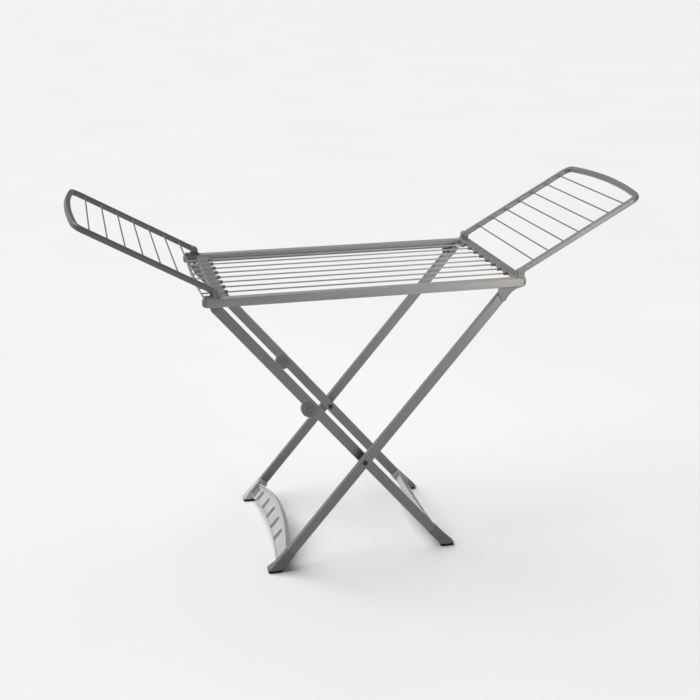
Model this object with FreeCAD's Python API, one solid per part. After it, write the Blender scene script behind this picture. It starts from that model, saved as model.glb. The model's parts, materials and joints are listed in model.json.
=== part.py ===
"""Winged clothes drying rack on two crossed leg frames.  Millimetres, +Z up.

Origin: on the floor, midway between the wing tips and midway between front (-Y) and rear (+Y).
The top frame runs along X.  It carries eight lengthwise rods and one hinged wing at each end.
The outer leg frame hangs from a pivot near the rails' right end.  The inner leg frame turns on
the outer one where they cross, and its top pins roll in a groove inside the rails.
"""
import FreeCAD, Part
import math
import os

from FreeCAD import Vector

# ---- top frame ----
RAIL_TOP = 925.0            # height of the rails above the floor
RAIL_HEIGHT = 27.0
RAIL_OUTER = 285.0          # outer face of each rail, from the middle plane
RAIL_WIDTH = 27.0
RAIL_LEFT = -502.0          # ends of the rails, without their caps
RAIL_RIGHT = 481.0
RAIL_EDGE_RADIUS = 3.0
GROOVE_HEIGHT = 11.0        # groove that the slide rollers run in, open to the inside
GROOVE_DEPTH = 14.0
PIN_HEIGHT = 906.5          # top pivot and slide pins, at the groove's middle
RAIL_WALL = 2.0
KNOB_LENGTH = 12.0          # end cap beyond the rail's end
KNOB_RIM_RADIUS = 8.0
RIGHT_BAR_INNER = 458.5     # end bars, nearest edge to the middle
LEFT_BAR_INNER = 440.0
BAR_WIDTH = 33.0
BAR_THICKNESS = 8.5
BAR_SKIRT_DEPTH = 10.0
ROD_RADIUS = 2.5
ROD_COUNT = 8
ROD_SPACING = 57.0
ROD_HEIGHT = 920.5
ROD_SOCKET_DEPTH = 20.0
BOSS_RADIUS = 5.5
BOSS_LENGTH = 9.0
BOW_RADIUS = 3.0
BOW_END_X = -505.0
BOW_MIDDLE_X = -513.0

# ---- legs ----
LEG_WIDTH = 32.0            # across the leg, in the plane of the fold
LEG_THICKNESS = 18.0
LEG_WALL = 1.0
LEG_RADIUS = 4.0
PIVOT_X = 446.0             # top pivot of the outer legs
CROSS_X = -23.0             # plane that mirrors the outer legs into the inner ones
FOOT_X = -316.5             # outer legs' foot, at the aim height
FOOT_AIM_HEIGHT = 6.0
OUTER_LEG_Y = 272.0         # middle of each leg's thickness
INNER_LEG_Y = 228.0
LEG_END_GAP = 22.0          # tube's lower end, short of the aim point
TUBE_START = 42.0           # tube's upper end, from the top pin
PLUG_LENGTH = 20.0
EAR_RADIUS = 9.0
EAR_THICKNESS = 10.0
EAR_Y = 251.5               # middle of the outer legs' pivot ears
CAP_START = 10.5            # square end of the outer legs' top caps, from the pin
RAIL_CLEARANCE = 1.6
TAPER_LENGTH = 30.0         # inner top cap: from the pin's round to the full width
CATCH_DISTANCE = 247.0      # fold catch, up the inner leg from the crossing
CATCH_RADIUS = 25.0
CATCH_OFFSET = 12.0
CATCH_OVERHANG = 2.0

# ---- feet ----
PAD_HEIGHT = 9.0
PAD_LENGTH = 44.0
PAD_WIDTH = 25.0
SOLE_SHIFT = 5.0            # sole outwards from the leg's aim line
SHOE_HEIGHT = 75.0          # length of the shoe, up the leg
SHOE_TOP_MARGIN = 1.3

# ---- slotted arches between the legs ----
ARCH_END_TOP = 64.0         # distances up the leg from the aim point
ARCH_MIDDLE_TOP = 108.0
ARCH_END_BOTTOM = 12.0
ARCH_MIDDLE_BOTTOM = 38.0
ARCH_WEB = 6.0
ARCH_RIM = 5.0
ARCH_RIM_DEPTH = 18.0
ARCH_LOWER_RIM_DEPTH = 13.0
ARCH_PLATE = 5.0            # end plate against the leg's inner face
SLOT_WIDTH = 9.0
SLOT_SHARE = 0.62           # how far up the web the slots reach
SLOT_PLACES = (0.915, 0.735, 0.435, 0.135, -0.165, -0.465)   # shares of the half span

# ---- pins, bores and fasteners ----
RUNNING_CLEARANCE = 0.06
TOP_PIN_RADIUS = 4.0
SLIDE_PIN_RADIUS = 3.0
ROLLER_RADIUS = 5.2
CROSS_BOLT_RADIUS = 4.0
SPACER_RADIUS = 14.0
WING_PIN_RADIUS = 3.0
HEAD_RADIUS = 7.5
HEAD_HEIGHT = 2.2

# ---- wings ----
WING_X = 475.0              # wing hinge axis
WING_Z = 942.0
WING_ANGLE = 29.3           # above the horizontal, as it stands on its rests
WING_TUBE_HEIGHT = 17.0
WING_TUBE_WIDTH = 16.5
WING_Y = 264.5              # middle of each side tube's width
WING_TUBE_START = 14.0
WING_TUBE_END = 400.0
WING_RADIUS = 4.0
WING_WALL = 1.2
KNUCKLE_RADIUS = 9.5
WING_BOW_END = 460.0        # bow's centre line, at the middle
WING_BOW_RADIUS = 1690.0
WING_BOW_WALL = 2.5
WING_CORNER_RADIUS = 30.0
WING_ROD_RADIUS = 2.25
WING_ROD_COUNT = 7
WING_ROD_FIRST = 59.0
WING_ROD_SPACING = 56.0
LUG_THICKNESS = 8.5
LUG_GAP = 0.75              # between a side tube and the lug outside it
LUG_RADIUS = 9.0
LUG_FOOT_HEIGHT = 5.0
REST_GAP = 0.4

# ---- values worked out from the ones above ----
RAIL_BOTTOM = RAIL_TOP - RAIL_HEIGHT
RAIL_INNER = RAIL_OUTER - RAIL_WIDTH
BAR_BOTTOM = RAIL_TOP - BAR_THICKNESS
FOOT_RUN = PIVOT_X - FOOT_X
FOOT_DROP = PIN_HEIGHT - FOOT_AIM_HEIGHT
LEG_LENGTH = math.hypot(FOOT_RUN, FOOT_DROP)
LEG_ANGLE = math.degrees(math.atan2(FOOT_DROP, FOOT_RUN))
CROSS_LENGTH = (PIVOT_X - CROSS_X) * LEG_LENGTH / FOOT_RUN
OUTER_LEG_FACE = OUTER_LEG_Y + LEG_THICKNESS / 2
OUTER_LEG_INNER_FACE = OUTER_LEG_Y - LEG_THICKNESS / 2
INNER_LEG_FACE = INNER_LEG_Y + LEG_THICKNESS / 2
INNER_LEG_INNER_FACE = INNER_LEG_Y - LEG_THICKNESS / 2
WING_OUTER = WING_Y + WING_TUBE_WIDTH / 2
WING_INNER = WING_Y - WING_TUBE_WIDTH / 2
LUG_START = WING_OUTER + LUG_GAP
LUG_END = LUG_START + LUG_THICKNESS
SOLE_X = FOOT_X - (FOOT_AIM_HEIGHT - PAD_HEIGHT) / math.tan(math.radians(LEG_ANGLE)) - SOLE_SHIFT


# ---------------------------------------------------------------- helpers

def box(x0, x1, y0, y1, z0, z1):
    return Part.makeBox(x1 - x0, y1 - y0, z1 - z0, Vector(x0, y0, z0))


def rod_x(x0, x1, y, z, radius):
    return Part.makeCylinder(radius, x1 - x0, Vector(x0, y, z), Vector(1, 0, 0))


def rod_y(x, y0, y1, z, radius):
    return Part.makeCylinder(radius, y1 - y0, Vector(x, y0, z), Vector(0, 1, 0))


def prism_y(points, y0, y1):
    """A flat outline of (x, z) points, extruded from y0 to y1."""
    corners = [Vector(x, y0, z) for x, z in points]
    face = Part.Face(Part.makePolygon(corners + [corners[0]]))
    return face.extrude(Vector(0, y1 - y0, 0))


def edges_along(shape, direction):
    found = []
    for edge in shape.Edges:
        if edge.Curve.TypeId != "Part::GeomLine":
            continue
        line = edge.Vertexes[1].Point - edge.Vertexes[0].Point
        if line.cross(direction).Length < 1e-6 * line.Length:
            found.append(edge)
    return found


def rounded_box(x0, x1, y0, y1, z0, z1, radius, direction=Vector(1, 0, 0)):
    """A box whose four edges along one direction are rounded."""
    shape = box(x0, x1, y0, y1, z0, z1)
    return shape.makeFillet(radius, edges_along(shape, direction))


def tube(x0, x1, y, width, height, radius, wall):
    """A rounded rectangular tube along X, centred on y and on z = 0."""
    outer = rounded_box(x0, x1, y - width / 2, y + width / 2, -height / 2, height / 2, radius)
    inner = rounded_box(x0 - 1, x1 + 1, y - width / 2 + wall, y + width / 2 - wall,
                        -height / 2 + wall, height / 2 - wall, radius - wall)
    return outer.cut(inner)


def front_of(shape):
    return shape.mirror(Vector(0, 0, 0), Vector(0, 1, 0))


def left_of(shape):
    return shape.mirror(Vector(0, 0, 0), Vector(1, 0, 0))


def on_outer_leg(shape):
    """From leg axes to the rack: x runs down the leg from the top pin, z to its lower side."""
    turn = FreeCAD.Rotation(Vector(0, 1, 0), 180 - LEG_ANGLE)
    placed = shape.copy()
    placed.Placement = FreeCAD.Placement(Vector(PIVOT_X, 0, PIN_HEIGHT), turn).multiply(placed.Placement)
    return placed


def on_inner_leg(shape):
    return on_outer_leg(shape).mirror(Vector(CROSS_X, 0, 0), Vector(1, 0, 0))


def on_right_wing(shape):
    """From wing axes to the rack: x runs outwards from the hinge, z is square to the wing."""
    turn = FreeCAD.Rotation(Vector(0, 1, 0), -WING_ANGLE)
    placed = shape.copy()
    placed.Placement = FreeCAD.Placement(Vector(WING_X, 0, WING_Z), turn).multiply(placed.Placement)
    return placed


def save(name, shape):
    solid = shape.removeSplitter()
    if solid.ShapeType == "Compound" and len(solid.Solids) == 1:
        solid = solid.Solids[0]
    solid.exportStep("parts/" + name + ".step")
    print(name, len(solid.Solids), round(solid.Volume / 1000, 2), "cm3", solid.isValid())


# ---------------------------------------------------------------- top frame

def rear_rail():
    rail = rounded_box(RAIL_LEFT, RAIL_RIGHT, RAIL_INNER, RAIL_OUTER, RAIL_BOTTOM, RAIL_TOP, RAIL_EDGE_RADIUS)
    return rail.cut(rail_groove(RAIL_LEFT, RAIL_RIGHT)).cut(rail_chamber(RAIL_LEFT, RAIL_RIGHT))


def rail_groove(x0, x1):
    """The groove along the rail's inner side."""
    return box(x0, x1, RAIL_INNER, RAIL_INNER + GROOVE_DEPTH,
               PIN_HEIGHT - GROOVE_HEIGHT / 2, PIN_HEIGHT + GROOVE_HEIGHT / 2)


def rail_chamber(x0, x1):
    """The hollow in the rail's outer half."""
    return box(x0, x1, RAIL_INNER + GROOVE_DEPTH + RAIL_WALL, RAIL_OUTER - RAIL_WALL,
               RAIL_BOTTOM + RAIL_WALL, RAIL_TOP - RAIL_WALL)


def wing_rest_height(x):
    """Height of a wing's underside above the rail's end, at rest."""
    slope = math.radians(WING_ANGLE)
    return WING_Z + (x - WING_X) * math.tan(slope) - WING_TUBE_HEIGHT / 2 / math.cos(slope) - REST_GAP


def arched_lug(x, base, eye_height, radius, y0, y1):
    """An upright lug with a round top about an eye."""
    corners = [Vector(x - radius, y0, base), Vector(x - radius, y0, eye_height),
               Vector(x + radius, y0, eye_height), Vector(x + radius, y0, base)]
    top = Part.Arc(corners[1], Vector(x, y0, eye_height + radius), corners[2]).toShape()
    outline = Part.Wire([Part.makeLine(corners[0], corners[1]), top, Part.makeLine(corners[2], corners[3]),
                         Part.makeLine(corners[3], corners[0])])
    return Part.Face(outline).extrude(Vector(0, y1 - y0, 0))


def knob_at(end):
    """The rounded block that closes a rail's end."""
    knob = box(end, end + KNOB_LENGTH, RAIL_INNER, RAIL_OUTER, RAIL_BOTTOM, RAIL_TOP)
    tip = [e for e in edges_along(knob, Vector(0, 0, 1)) if e.CenterOfMass.x > end + 1]
    knob = knob.makeFillet(KNOB_LENGTH - 1, tip)
    beyond = [e for e in knob.Edges if e.CenterOfMass.x > end + 1]
    rim = [e for e in beyond if abs(e.tangentAt(e.FirstParameter).z) < 0.1]
    return knob.makeFillet(KNOB_RIM_RADIUS, rim)


def rear_end_cap(end):
    """Knob, plugs, hinge lug and the ramp that the open wing rests on, for a rail that ends at x = end."""
    chamber_plug = rail_chamber(end - 15, end)
    groove_stop = rail_groove(end - 4.0, end)
    foot_top = RAIL_TOP + LUG_FOOT_HEIGHT
    foot_start = RAIL_INNER + 1
    foot_end = end - 0.5
    foot = box(WING_X - 14, foot_end, foot_start, LUG_END, RAIL_TOP, foot_top)
    heel = box(end, end + 5, RAIL_INNER + 4, LUG_END, RAIL_TOP - 8, RAIL_TOP)
    strap = box(foot_end - 2, end + 5, RAIL_INNER + 4, LUG_END, RAIL_TOP, foot_top)
    eye = arched_lug(WING_X, RAIL_TOP + 1, WING_Z, LUG_RADIUS, LUG_START, LUG_END)
    ramp_start = WING_X + 8
    ramp_end = WING_X + 14.5
    ramp_base = RAIL_TOP + 1 if ramp_end < end else RAIL_TOP - 6
    ramp = prism_y([(ramp_start, ramp_base), (ramp_end, ramp_base), (ramp_end, wing_rest_height(ramp_end)),
                    (ramp_start, wing_rest_height(ramp_start))], RAIL_INNER + 4, WING_OUTER - 1)
    cap = knob_at(end).fuse([chamber_plug, groove_stop, heel, strap, foot, eye, ramp])
    return cap.cut(rod_y(WING_X, 0, RAIL_OUTER, WING_Z, WING_PIN_RADIUS))


def end_bar(inner):
    """Flat cross bar with a stiffening skirt and one socket boss for each rod."""
    outer = inner + BAR_WIDTH
    plate = box(inner, outer, -RAIL_INNER, RAIL_INNER, BAR_BOTTOM, RAIL_TOP)
    top = [e for e in edges_along(plate, Vector(0, 1, 0)) if e.CenterOfMass.z > RAIL_TOP - 1]
    plate = plate.makeFillet(2.5, top)
    skirt_half = INNER_LEG_INNER_FACE - 9
    skirt = box(outer - 5, outer, -skirt_half, skirt_half, BAR_BOTTOM - BAR_SKIRT_DEPTH, BAR_BOTTOM)
    bosses = []
    for y in rod_places():
        boss = rod_x(inner - BOSS_LENGTH, inner + 4, y, ROD_HEIGHT, BOSS_RADIUS)
        bosses.append(boss.common(box(0, outer, -RAIL_INNER, RAIL_INNER, 0, RAIL_TOP)))
    return plate.fuse([skirt] + bosses)


def rod_places():
    first = -ROD_SPACING * (ROD_COUNT - 1) / 2
    return [first + ROD_SPACING * i for i in range(ROD_COUNT)]


def left_end_bow():
    """Bent wire that closes the rods' free ends, from cap to cap."""
    reach = RAIL_INNER + 4
    start = Vector(BOW_END_X, reach, ROD_HEIGHT)
    path = Part.Arc(start, Vector(BOW_MIDDLE_X, 0, ROD_HEIGHT), Vector(BOW_END_X, -reach, ROD_HEIGHT))
    path = path.toShape()
    circle = Part.Circle(start, path.tangentAt(path.FirstParameter), BOW_RADIUS).toShape()
    wire = Part.Wire(path).makePipeShell([Part.Wire(circle)], True, True)
    return wire.common(box(2 * BOW_MIDDLE_X, 0, -RAIL_INNER, RAIL_INNER, 0, RAIL_TOP))


def centre_rod(y, bow):
    rod = rod_x(BOW_MIDDLE_X, RIGHT_BAR_INNER + ROD_SOCKET_DEPTH, y, ROD_HEIGHT, ROD_RADIUS)
    pieces = rod.cut(bow).Solids
    return max(pieces, key=lambda s: s.Volume)


def rear_pivot_block():
    """Block in the rail's groove that the top pivot pin turns in."""
    half = 13.0
    block = box(PIVOT_X - half, PIVOT_X + half, RAIL_INNER, RAIL_INNER + GROOVE_DEPTH,
                PIN_HEIGHT - GROOVE_HEIGHT / 2, PIN_HEIGHT + GROOVE_HEIGHT / 2)
    return block.cut(rod_y(PIVOT_X, 0, RAIL_OUTER, PIN_HEIGHT, TOP_PIN_RADIUS + RUNNING_CLEARANCE))


def rear_leg_bracket():
    """Flared cheek under the rail, outside the leg's top, with a web at its right end."""
    cheek_top = RAIL_BOTTOM
    left = PIVOT_X - 46
    right = PIVOT_X + 34
    notch = Vector(left + 15, 0, cheek_top - 42)
    toe = Vector(left + 24.5, 0, cheek_top - 42)
    points = [Vector(left, 0, cheek_top), Vector(left, 0, cheek_top - 17), notch, toe]
    sides = [Part.makeLine(a, b) for a, b in zip(points, points[1:])]
    flare = Part.Arc(toe, Vector(left + 45, 0, cheek_top - 14), Vector(right, 0, cheek_top)).toShape()
    outline = Part.Wire(sides + [flare, Part.makeLine(Vector(right, 0, cheek_top), points[0])])
    face = Part.Face(outline)
    face.translate(Vector(0, RAIL_INNER, 0))
    whole = face.extrude(Vector(0, RAIL_WIDTH, 0))
    cheek_start = OUTER_LEG_FACE + 0.7
    cheek = whole.common(box(left - 1, right + 1, cheek_start, RAIL_OUTER, 0, RAIL_TOP))
    web = whole.common(box(PIVOT_X + 20, right + 1, RAIL_INNER, cheek_start, 0, RAIL_TOP))
    return cheek.fuse(web)


def wing_hinge_pins():
    pins = []
    for y_side in (1, -1):
        head_end = WING_INNER - 0.3
        pin = rod_y(WING_X, head_end, LUG_END, WING_Z, WING_PIN_RADIUS)
        head = rod_y(WING_X, head_end - HEAD_HEIGHT, head_end, WING_Z, 6.0)
        pin = pin.fuse(head)
        if y_side < 0:
            pin = front_of(pin)
        pins += [pin, left_of(pin)]
    return Part.makeCompound(pins)


# ---------------------------------------------------------------- legs

def leg_tube(y, bore_radius):
    """A leg's tube, with its crossing bore and its top pin's room, in leg axes."""
    shape = tube(TUBE_START, LEG_LENGTH - LEG_END_GAP, y, LEG_THICKNESS, LEG_WIDTH, LEG_RADIUS, LEG_WALL)
    return shape.cut(rod_y(CROSS_LENGTH, y - LEG_THICKNESS, y + LEG_THICKNESS, 0, bore_radius))


def tube_plug(y):
    """The part of a top cap that fills the tube's end."""
    half_width = LEG_WIDTH / 2 - LEG_WALL
    half_thickness = LEG_THICKNESS / 2 - LEG_WALL
    return rounded_box(TUBE_START, TUBE_START + PLUG_LENGTH, y - half_thickness, y + half_thickness,
                       -half_width, half_width, LEG_RADIUS - LEG_WALL)


def outer_rear_top_cap():
    """Collar under the rail and an ear beside it, which turns on the top pivot pin."""
    y = OUTER_LEG_Y
    half_width = LEG_WIDTH / 2
    ear_start = EAR_Y - EAR_THICKNESS / 2
    ear_end = EAR_Y + EAR_THICKNESS / 2
    collar = rounded_box(CAP_START, TUBE_START, y - LEG_THICKNESS / 2, y + LEG_THICKNESS / 2,
                         -half_width, half_width, LEG_RADIUS)
    bridge = box(CAP_START + 2, TUBE_START - 4, ear_start, OUTER_LEG_INNER_FACE, -EAR_RADIUS, EAR_RADIUS)
    solid = on_outer_leg(collar.fuse([bridge, tube_plug(y)]))
    under_rail = box(0, RAIL_RIGHT, ear_end, RAIL_OUTER, RAIL_BOTTOM - RAIL_CLEARANCE, RAIL_TOP)
    arm = box(0, TUBE_START - 4, ear_start, ear_end, -EAR_RADIUS, EAR_RADIUS)
    eye = rod_y(0, ear_start, ear_end, 0, EAR_RADIUS)
    ear = on_outer_leg(arm.fuse(eye))
    cap = solid.cut(under_rail).fuse(ear)
    return cap.cut(rod_y(PIVOT_X, 0, RAIL_OUTER, PIN_HEIGHT, TOP_PIN_RADIUS))


def top_pivot_pins():
    """Pins fixed in the outer legs' ears, one at the rear and one at the front."""
    ear_start = EAR_Y - EAR_THICKNESS / 2
    pin = rod_y(PIVOT_X, ear_start, RAIL_INNER + GROOVE_DEPTH - 0.5, PIN_HEIGHT, TOP_PIN_RADIUS)
    pin = pin.fuse(rod_y(PIVOT_X, ear_start - HEAD_HEIGHT, ear_start, PIN_HEIGHT, HEAD_RADIUS))
    return Part.makeCompound([pin, front_of(pin)])


def inner_rear_top_cap():
    """Tapered cap whose round end carries the slide pin."""
    y = INNER_LEG_Y
    half_width = LEG_WIDTH / 2
    half_thickness = LEG_THICKNESS / 2
    collar = rounded_box(TAPER_LENGTH, TUBE_START, y - half_thickness, y + half_thickness,
                         -half_width, half_width, LEG_RADIUS)
    eye = rod_y(0, y - half_thickness, y + half_thickness, 0, EAR_RADIUS)
    lean = math.asin((half_width - EAR_RADIUS) / math.hypot(TAPER_LENGTH, half_width)) * 0.5
    side_x = -EAR_RADIUS * math.sin(lean)
    side_z = EAR_RADIUS * math.cos(lean)
    shoulder = half_width - 1.5
    taper = prism_y([(side_x, side_z), (TAPER_LENGTH + 6, shoulder), (TAPER_LENGTH + 6, -shoulder),
                     (side_x, -side_z)], y - half_thickness, y + half_thickness)
    cap = collar.fuse([eye, taper, tube_plug(y)])
    return cap.cut(rod_y(0, y - LEG_THICKNESS, y + LEG_THICKNESS, 0, SLIDE_PIN_RADIUS))


def slide_pins():
    pin = rod_y(0, INNER_LEG_INNER_FACE, RAIL_INNER + GROOVE_DEPTH - 1.5, 0, SLIDE_PIN_RADIUS)
    head = rod_y(0, INNER_LEG_INNER_FACE - HEAD_HEIGHT, INNER_LEG_INNER_FACE, 0, 5.5)
    pin = on_inner_leg(pin.fuse(head))
    return Part.makeCompound([pin, front_of(pin)])


def slide_rollers():
    start = RAIL_INNER + 1
    end = RAIL_INNER + GROOVE_DEPTH - 1.5
    roller = rod_y(0, start, end, 0, ROLLER_RADIUS).cut(rod_y(0, start, end, 0, SLIDE_PIN_RADIUS))
    roller = on_inner_leg(roller)
    return Part.makeCompound([roller, front_of(roller)])


def rear_fold_catch():
    """Round clip on the inner leg's lower edge that wraps both of its faces."""
    y0 = INNER_LEG_INNER_FACE - CATCH_OVERHANG
    y1 = INNER_LEG_FACE + CATCH_OVERHANG
    place = CROSS_LENGTH - CATCH_DISTANCE
    disc = rod_y(place, y0, y1, CATCH_OFFSET, CATCH_RADIUS)
    disc = disc.makeFillet(1.5, [e for e in disc.Edges if e.Curve.TypeId == "Part::GeomCircle"])
    leg = rounded_box(0, LEG_LENGTH, INNER_LEG_INNER_FACE, INNER_LEG_FACE, -LEG_WIDTH / 2, LEG_WIDTH / 2,
                      LEG_RADIUS)
    return disc.cut(leg).common(box(place - 30, place + 30, y0, y1, -8, 60))


def crossing_spacers():
    spacer = rod_y(CROSS_LENGTH, INNER_LEG_FACE, OUTER_LEG_INNER_FACE - 0.3, 0, SPACER_RADIUS)
    spacer = spacer.cut(rod_y(CROSS_LENGTH, 0, RAIL_OUTER, 0, CROSS_BOLT_RADIUS))
    spacer = on_inner_leg(spacer)
    return Part.makeCompound([spacer, front_of(spacer)])


def crossing_bolts():
    """Bolts fixed in the inner legs.  The outer legs turn on them."""
    inside = INNER_LEG_INNER_FACE
    outside = OUTER_LEG_FACE + 0.3
    shank = rod_y(CROSS_LENGTH, inside, outside, 0, CROSS_BOLT_RADIUS)
    nut = rod_y(CROSS_LENGTH, inside - 4, inside, 0, HEAD_RADIUS)
    head = rod_y(CROSS_LENGTH, outside, outside + HEAD_HEIGHT, 0, HEAD_RADIUS)
    bolt = on_inner_leg(shank.fuse([nut, head]))
    return Part.makeCompound([bolt, front_of(bolt)])


# ---------------------------------------------------------------- feet and arches

def leg_envelope(y):
    """The tube's outer shape at the foot, without its hollow."""
    return rounded_box(LEG_LENGTH - 200, LEG_LENGTH - LEG_END_GAP, y - LEG_THICKNESS / 2,
                       y + LEG_THICKNESS / 2, -LEG_WIDTH / 2, LEG_WIDTH / 2, LEG_RADIUS)


def rounded_loop(corners, radius):
    """A closed loop of four corners with rounded bends."""
    parts = []
    count = len(corners)
    for i, corner in enumerate(corners):
        before = corners[i - 1]
        after = corners[(i + 1) % count]
        start = corner + (before - corner).normalize() * radius
        end = corner + (after - corner).normalize() * radius
        middle = corner + ((start - corner) + (end - corner)) * 0.29
        parts.append(Part.Arc(start, middle, end).toShape())
        following = after + (corner - after).normalize() * radius
        parts.append(Part.makeLine(end, following))
    return Part.Wire(parts)


def rear_shoe(y):
    """Shoe at the leg's foot in rack axes: leg section above, level rounded sole below."""
    up = LEG_LENGTH - SHOE_HEIGHT
    half_width = LEG_WIDTH / 2 + SHOE_TOP_MARGIN
    half_thickness = LEG_THICKNESS / 2 + 1.0
    placement = on_outer_leg(Part.Vertex(0, 0, 0)).Placement
    ring = [(half_width, half_thickness), (half_width, -half_thickness),
            (-half_width, -half_thickness), (-half_width, half_thickness)]
    upper = [placement.multVec(Vector(up, y + t, w)) for w, t in ring]
    half_length = PAD_LENGTH / 2 + 1
    half_sole = PAD_WIDTH / 2
    base = [(half_length, half_sole), (half_length, -half_sole),
            (-half_length, -half_sole), (-half_length, half_sole)]
    lower = [Vector(SOLE_X + l, y + t, PAD_HEIGHT) for l, t in base]
    shoe = Part.makeLoft([rounded_loop(upper, 4.5), rounded_loop(lower, 6.0)], True)
    return shoe.cut(on_outer_leg(leg_envelope(y)))


def rear_pad(y):
    pad = rounded_box(SOLE_X - PAD_LENGTH / 2, SOLE_X + PAD_LENGTH / 2, y - PAD_WIDTH / 2,
                      y + PAD_WIDTH / 2, 0, PAD_HEIGHT, 6.0, Vector(0, 0, 1))
    sole = [e for e in pad.Edges if e.CenterOfMass.z < 0.1]
    return pad.makeFillet(0.8, sole)


def arch_band(low_end, low_middle, high_end, high_middle, half_span, depth):
    """A band between two arcs that span the legs, in leg axes, centred on z = 0."""
    def place(along, y):
        return Vector(LEG_LENGTH - along, y, -depth / 2)
    low_left = place(low_end, -half_span)
    low_right = place(low_end, half_span)
    high_left = place(high_end, -half_span)
    high_right = place(high_end, half_span)
    low = Part.Arc(low_left, place(low_middle, 0), low_right).toShape()
    high = Part.Arc(high_right, place(high_middle, 0), high_left).toShape()
    outline = Part.Wire([low, Part.makeLine(low_right, high_right), high, Part.makeLine(high_left, low_left)])
    return Part.Face(outline).extrude(Vector(0, 0, depth))


def slot_cutter(y, width, half_span):
    """A round-ended slot that opens through the arch's lower edge."""
    share = (y / half_span) ** 2
    low = ARCH_MIDDLE_BOTTOM - share * (ARCH_MIDDLE_BOTTOM - ARCH_END_BOTTOM)
    high = ARCH_MIDDLE_TOP - share * (ARCH_MIDDLE_TOP - ARCH_END_TOP)
    reach = low + SLOT_SHARE * (high - low)
    far = LEG_LENGTH - reach
    body = box(far, LEG_LENGTH - low + 20, y - width / 2, y + width / 2, -20, 20)
    end = Part.makeCylinder(width / 2, 40, Vector(far, y, -20), Vector(0, 0, 1))
    return body.fuse(end)


def slotted_arch(half_span):
    """Arched spacer with rims along both edges, open slots and an end plate at each leg."""
    web = arch_band(ARCH_END_BOTTOM, ARCH_MIDDLE_BOTTOM, ARCH_END_TOP, ARCH_MIDDLE_TOP,
                    half_span, ARCH_WEB)
    upper = arch_band(ARCH_END_TOP - ARCH_RIM, ARCH_MIDDLE_TOP - ARCH_RIM, ARCH_END_TOP,
                      ARCH_MIDDLE_TOP, half_span, ARCH_RIM_DEPTH)
    lower = arch_band(ARCH_END_BOTTOM, ARCH_MIDDLE_BOTTOM, ARCH_END_BOTTOM + ARCH_RIM,
                      ARCH_MIDDLE_BOTTOM + ARCH_RIM, half_span, ARCH_LOWER_RIM_DEPTH)
    arch = web.fuse([upper, lower])
    collars = []
    cutters = []
    for share in SLOT_PLACES:
        y = share * half_span
        widened = SLOT_WIDTH + (5.0 if share == SLOT_PLACES[0] else 0.0)
        cutters.append(slot_cutter(y, widened, half_span))
        wall = slot_cutter(y, widened + 5.0, half_span)
        slab = arch_band(ARCH_END_BOTTOM, ARCH_MIDDLE_BOTTOM, ARCH_END_TOP, ARCH_MIDDLE_TOP,
                         half_span, ARCH_LOWER_RIM_DEPTH)
        collars.append(wall.common(slab))
    arch = arch.fuse(collars)
    for cutter in cutters:
        arch = arch.cut(cutter)
    half_plate = LEG_WIDTH / 2 + 1.5
    for side in (1, -1):
        outer = side * half_span
        inner = side * (half_span - ARCH_PLATE)
        plate = rounded_box(LEG_LENGTH - SHOE_HEIGHT - 8, LEG_LENGTH - 20, min(outer, inner),
                            max(outer, inner), -half_plate, half_plate, 6.0, Vector(0, 1, 0))
        arch = arch.fuse(plate)
    return arch


# ---------------------------------------------------------------- wings

def wing_side_rail():
    """Rear side tube of a wing, in wing axes, with one hole for each rod."""
    shape = tube(WING_TUBE_START, WING_TUBE_END, WING_Y, WING_TUBE_WIDTH, WING_TUBE_HEIGHT,
                 WING_RADIUS, WING_WALL)
    for rod in wing_rod_list():
        shape = shape.cut(rod)
    return shape


def wing_rod_list():
    half = WING_INNER + WING_WALL
    rods = []
    for i in range(WING_ROD_COUNT):
        rods.append(rod_y(WING_ROD_FIRST + i * WING_ROD_SPACING, -half, half, 0, WING_ROD_RADIUS))
    return rods


def wing_plug(x0, x1):
    half_width = WING_TUBE_WIDTH / 2 - WING_WALL
    half_height = WING_TUBE_HEIGHT / 2 - WING_WALL
    return rounded_box(x0, x1, WING_Y - half_width, WING_Y + half_width, -half_height, half_height,
                       WING_RADIUS - WING_WALL)


def wing_hinge_arm():
    """Moulded knuckle at the rear side tube's inner end, in wing axes."""
    knuckle = rod_y(0, WING_INNER, WING_OUTER, 0, KNUCKLE_RADIUS)
    neck = rounded_box(0, WING_TUBE_START, WING_INNER, WING_OUTER, -WING_TUBE_HEIGHT / 2, WING_TUBE_HEIGHT / 2, 3.0)
    arm = knuckle.fuse([neck, wing_plug(WING_TUBE_START, WING_TUBE_START + 18)])
    return arm.cut(rod_y(0, 0, RAIL_OUTER + 5, 0, WING_PIN_RADIUS + RUNNING_CLEARANCE))


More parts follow.
